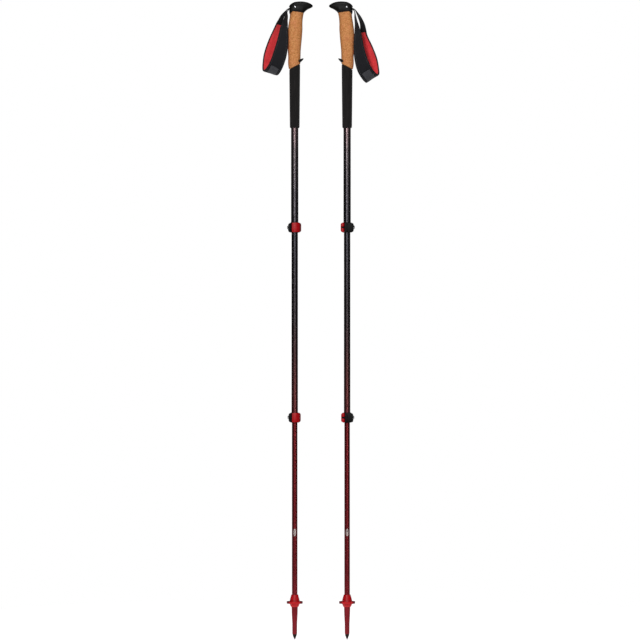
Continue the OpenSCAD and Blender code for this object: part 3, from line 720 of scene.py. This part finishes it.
right_strap = [
    [16.0, 0, 1378.6, 0, 0, 15], [17.8, -2, 1365, 12, 0, 15], [20.2, -6, 1350, 26, 0, 15],
    [22.4, -12, 1334, 58, 12, 15], [23.6, -15, 1321, 90, 18, 18], [25.2, -16.5, 1300, 90, 20, 23],
    [29.5, -17, 1275, 90, 23, 28], [36.5, -16, 1253, 90, 27, 31], [46.5, -10.5, 1237, 90, 31, 31.5],
    [54, 0, 1231.5, 90, 33, 31.5], [55.9, 10.5, 1238, 90, 31, 31.5], [55, 16, 1252, 90, 27, 31],
    [52.5, 17, 1273, 90, 23, 28], [45.5, 16.5, 1298, 90, 20, 23], [37.8, 15, 1320, 90, 18, 18],
    [36, 12, 1333, 65, 12, 15], [33.5, 6, 1350, 42, 0, 15], [27, 2, 1366, 25, 0, 15],
    [18.2, 0, 1380.6, 0, 0, 15],
]
STRAPS = {"left": left_strap, "right": right_strap}
# rows between which the band is padded, and those the sewn patch covers
PAD_FIRST, PAD_LAST = 3, 15
PATCH_FIRST, PATCH_LAST = 7.4, 8.8
WEBBING_W = 15
# from the outer leg into the slot, round the pin and back out to the inner leg
pin_loop = [
    [14.4, 0, 1383.3, 0, 0, 15], [9, 0, 1386.2, 0, 0, 15], [3, 0, 1389.0, 0, 0, 15],
    [-1, 0, 1389.9, 0, 0, 15], [-2.7, 0, 1389.2, 0, 0, 15], [-3.4, 0, 1387.5, 0, 0, 15],
    [-2.7, 0, 1385.8, 0, 0, 15], [-1, 0, 1385.1, 0, 0, 15], [5, 0, 1384.2, 0, 0, 15],
    [11, 0, 1382.4, 0, 0, 15],
]


def frames(rows, ts):
    """Centre, width direction and outward direction of a band at each place, with its width."""
    out = []
    last = len(rows) - 1
    point = lambda q: np.array([-q[0], q[1], q[2]])
    for t in ts:
        r = row_at(rows, t)
        along = point(row_at(rows, min(last, t + 0.05))) - point(row_at(rows, max(0, t - 0.05)))
        along /= np.linalg.norm(along)
        turn, tilt = math.radians(r[3]), math.radians(r[4])
        wide = np.array([math.sin(turn) * math.cos(tilt), math.cos(turn), -math.sin(turn) * math.sin(tilt)])
        up = np.cross(along, wide)
        up /= np.linalg.norm(up)
        out.append((point(r), np.cross(up, along), up, r[5]))
    return out


def lengths(fr):
    """Length of the path up to each frame."""
    d = [0.0]
    for a, b in zip(fr, fr[1:]):
        d.append(d[-1] + float(np.linalg.norm(b[0] - a[0])))
    return d


def band(name, side, fr, section, mat, wave=None):
    """Sweeps section(half width, place) -> [(across, out)] along the frames, with UVs in millimetres."""
    run = lengths(fr)
    rings, uvs = [], []
    for i, (c, wide, up, width) in enumerate(fr):
        ring = []
        for s, h in section(width / 2, i):
            if wave is not None:
                h += wave(s, run[i], h, width / 2)
            ring.append(c + wide * s + up * h)
            uvs.append((s, run[i]))
        rings.append(ring)
    return loft(name, rings, mat, True, uvs, lambda p: place_strap(side, p))


def webbing_section(half, i):
    """Flat band of 1.44 mm with rounded selvedges."""
    t = 0.72
    right = [(half - 0.5, -t), (half - 0.05, -t * 0.6), (half, 0), (half - 0.05, t * 0.6), (half - 0.5, t)]
    left = [(-s, -h) for s, h in right]
    return [left[-1], (-half * 0.5, -t), (0, -t), (half * 0.5, -t), *right,
            (half * 0.5, t), (0, t), (-half * 0.5, t), *left[:-1]]


def shell_section(half, i):
    """Crowned outer layer whose edges are rolled over the lining as a binding."""
    roll = 1.6
    top = [(s * (half - roll), 1.55 + 0.75 * (1 - abs(s) ** 3)) for s in np.linspace(-1, 1, 13)]
    turns = np.linspace(0.35, 2.75, 8)
    right = [(half - roll + roll * math.sin(a), -0.35 + 1.9 * math.cos(a)) for a in turns]
    inner = [(half - 2.7, -2.05), (half - 2.9, -1.2), (half - 2.6, 0.12)]
    under = [(s * (half - 2.6), 0.12) for s in (0.5, 0, -0.5)]
    left = [(-s, h) for s, h in reversed(right + inner)]
    return top + right + inner + under + left


def lining_section(half, i):
    """Crowned inner layer that fits between the rolled edges."""
    edge = half - 2.5
    face = [(s * edge, -1.55 - 0.95 * (1 - abs(s) ** 4)) for s in np.linspace(1, -1, 15)]
    return [(-edge, -0.1), (0, -0.02), (edge, -0.1)] + face


def wrinkle(s, v, h, half):
    """Slight waves of both faces, across s and along v, that fade towards the edges."""
    if abs(h) <= 1.0:
        return 0.0
    long_wave = noise.noise(Vector((s * 0.05, v * 0.11, 3.7)))
    short_wave = noise.noise(Vector((s * 0.16, v * 0.32, 9.1)))
    fade = 1 - min(1.0, abs(s) / half) ** 6
    return math.copysign(1.0, h) * (0.34 * long_wave + 0.16 * short_wave) * fade


def make_pad(side, fr):
    """The padded band: a black outer layer with its binding, and the red lining."""
    shell = band(side + "_pad_shell", side, fr, shell_section, SHELL, wrinkle)
    # all but the crowned face is binding
    shell.data.materials.append(BINDING)
    n = len(shell_section(10, 0))
    for p in shell.data.polygons:
        if len(p.vertices) == 4 and min(v % n for v in p.vertices) >= 12:
            p.material_index = 1
    bake_modifiers(shell, 60)
    lining = band(side + "_pad_lining", side, fr, lining_section, LINING, wrinkle)
    bake_modifiers(lining, 60)
    layers = ((shell, "_strap_shell", "black_webbing"), (lining, "_strap_lining", "red_lining"))
    for obj, node, slot in layers:
        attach(obj, side + "_strap")
        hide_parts(side + node)


def add_stitch(verts, faces, points, lift):
    """A small spindle through three points, its ends sunk into the cloth."""
    base, sides = len(verts), 6
    for (c, wide, up), r in zip(points, (0.12, 0.3, 0.12)):
        sink = 0.0 if r > 0.2 else -0.25 * math.copysign(1, lift)
        for k in range(sides):
            a = 2 * math.pi * k / sides
            verts.append(c + up * sink + wide * r * math.cos(a) + up * r * math.sin(a))
    faces += [tuple(base + v for v in face) for face in grid_faces(3, sides)]
    faces.append(tuple(base + k for k in range(sides - 1, -1, -1)))
    faces.append(tuple(base + 2 * sides + k for k in range(sides)))


def sew(side, fr, tag, mat, inset, lift):
    """Stitches along both edges of the pad, inset from them and lifted off its middle."""
    run = lengths(fr)
    stitch, pitch = 2.2, 3.1
    verts, faces = [], []
    for sign in (-1, 1):
        v = 2.0
        while v < run[-1] - 4.0:
            points = []
            for q in (v, v + stitch / 2, v + stitch):
                i = min(int(np.searchsorted(run, q)), len(fr) - 1)
                f = (q - run[i - 1]) / max(run[i] - run[i - 1], 1e-6)
                c = fr[i - 1][0] * (1 - f) + fr[i][0] * f
                half = (fr[i - 1][3] * (1 - f) + fr[i][3] * f) / 2
                s = sign * (half - inset)
                points.append((c + fr[i][1] * s + fr[i][2] * lift, fr[i][1], fr[i][2]))
            add_stitch(verts, faces, points, lift)
            v += pitch
    obj = new_object(f"{side}_stitches_{tag}", place_strap(side, verts), faces, mat)
    outward(obj)
    bake_modifiers(obj, 70)
    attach(obj, side + "_strap")


def make_webbing(side, rows):
    """One piece from under the pad's end, round the pin and back under its other end."""
    loop = [rows[k] for k in (15, 16, 17, 18)] + pin_loop + [rows[k] for k in (0, 1, 2, 3)]
    fr = frames(loop, np.linspace(0, len(loop) - 1, 150))
    start, end = frames(rows, [PAD_LAST - 0.18, PAD_FIRST + 0.18])
    fr = [(start[0], *fr[0][1:3], WEBBING_W)] + fr + [(end[0], *fr[-1][1:3], WEBBING_W)]
    web = band(side + "_webbing", side, fr, webbing_section, WEBBING)
    bake_modifiers(web, 60)
    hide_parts(side + "_strap_webbing", side + "_strap_anchor")
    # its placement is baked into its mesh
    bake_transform(web)


def patch_section(half, i):
    """Plain sewn patch, its corners drawn in a little at both ends of its 25 rings."""
    share = abs(i - 12) / 12
    w = half * 0.6 * (1 - 0.10 * max(0.0, (share - 0.85) / 0.15) ** 2)
    top = [(a * w, 2.75 + 0.12 * (1 - abs(a) ** 6)) for a in np.linspace(-1, 1, 11)]
    return top + [(w, 2.3), (0, 2.2), (-w, 2.3)]


def make_patch(side, rows):
    fr = frames(rows, np.linspace(PATCH_FIRST, PATCH_LAST, 25))
    patch = band(side + "_patch", side, fr, patch_section, PATCH)
    bake_modifiers(patch, 50)
    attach(patch, side + "_strap")
    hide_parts(side + "_strap_label")


def make_strap(side):
    rows = STRAPS[side]
    # 13 rings to each row of the table
    fr = frames(rows, np.linspace(PAD_FIRST, PAD_LAST, (PAD_LAST - PAD_FIRST) * 13 + 1))
    make_pad(side, fr)
    sew(side, fr, "outer", THREAD, 3.3, 2.0)
    sew(side, fr, "inner", RED_THREAD, 3.9, -2.3)
    make_webbing(side, rows)
    make_patch(side, rows)


# ---- build ----

for side in SIDES:
    make_cork(side)
    make_pommel(side)
    make_foam(side)
    make_ledge(side)
    make_strap(side)
    dress(side + "_upper_shaft", SHAFT_BLACK)
    dress(side + "_middle_shaft", SHAFT_FADE)
    dress(side + "_lower_shaft", SHAFT_RED)
    for node in ("_middle_plug", "_lower_plug", "_grip_core"):
        dress(side + node, NYLON)
    dress(side + "_strap_pin", STEEL)
    for node in ("_upper_hinge_pin", "_lower_hinge_pin"):
        dress(side + node, BLACK_STEEL)
    refined(side + "_strap_wedge", side + "_wedge", NYLON, 0.0003, 2, 45)
    for lock, home in (("_upper", "_grip"), ("_lower", "_middle")):
        refined(side + lock + "_collar", side + home, NYLON, 0.0004, 2)
        refined(side + lock + "_lever", side + lock + "_lever", RED, 0.0005, 3)
        refined(side + lock + "_screw", side + lock + "_screw", SCREW, 0.00015, 2)
    refined(side + "_basket", side + "_lower", BASKET, 0.0004, 2)
    refined(side + "_tip_ferrule", side + "_lower", FERRULE, 0.0002, 2)
    refined(side + "_tip_holder", side + "_lower", BLACK_STEEL, 0.0002, 2)
    refined(side + "_carbide_tip", side + "_lower", CARBIDE, 0.0001, 2)


# ---- stage, light, camera ----

def ground():
    """A round pale table top with a soft rim."""
    n, middle_y = 96, 0.5
    rims = ((0.001, 0.0), (0.5, 0.0), (0.93, 0.0), (0.945, -0.004), (0.95, -0.02))
    verts = []
    for r, z in rims:
        verts += [(x, y, z) for x, y in circle(r, n, 0, middle_y)]
    faces = grid_faces(len(rims), n) + [tuple(range(n))]
    k = Mat("studio", (0.93, 0.93, 0.93, 1), 0.9,
            **{"Emission Color": (1, 1, 1, 1), "Emission Strength": 0.85, "Specular IOR Level": 0.0})
    p = k.coords()
    cloud = k.remap(k.noise(p, 3, 2), 0.3, 0.7, 0.0, 1.0)
    k.use(k.mix(cloud, (0.92, 0.92, 0.92, 1), (0.95, 0.95, 0.95, 1)))
    obj = new_object("table_top", verts, faces, k.m)


def area(name, loc, target, size, power):
    light = bpy.data.lights.new(name, "AREA")
    light.shape = "RECTANGLE"
    light.size, light.size_y = size
    light.energy = power
    obj = bpy.data.objects.new(name, light)
    obj.location = loc
    obj.rotation_euler = (Vector(target) - Vector(loc)).to_track_quat("-Z", "Y").to_euler()
    scene.collection.objects.link(obj)


ground()
# the world looks white and lights the poles only faintly
world = bpy.data.worlds.new("world")
world.use_nodes = True
wt = world.node_tree
glow = wt.nodes["Background"]
glow.inputs["Color"].default_value = (1, 1, 1, 1)
seen = wt.nodes.new("ShaderNodeLightPath").outputs["Is Camera Ray"]
level = wt.nodes.new("ShaderNodeMapRange")
level.inputs["To Min"].default_value = 0.07
level.inputs["To Max"].default_value = 1.0
wt.links.new(seen, level.inputs["Value"])
wt.links.new(level.outputs[0], glow.inputs["Strength"])
scene.world = world
area("key", (-0.75, -3.2, 1.9), (0, 0, 0.85), (0.45, 2.0), 60)
area("fill", (1.1, -3.0, 1.2), (0, 0, 0.8), (0.5, 1.8), 17)
area("top", (0, -0.5, 3.2), (0, 0, 0.8), (1.2, 1.0), 14)

# a far camera, level with the poles' middle, whose picture is as high as the poles
cam_data = bpy.data.cameras.new("camera")
DISTANCE, HEIGHT = 10.0, 1.4042
cam_data.sensor_width = 36.0
cam_data.lens = 36.0 * DISTANCE / HEIGHT
cam_data.clip_end = 60.0
camera = bpy.data.objects.new("camera", cam_data)
camera.location = (-0.002, -DISTANCE, 0.701)
camera.rotation_euler = (math.radians(90), 0, 0)
scene.collection.objects.link(camera)
scene.camera = camera
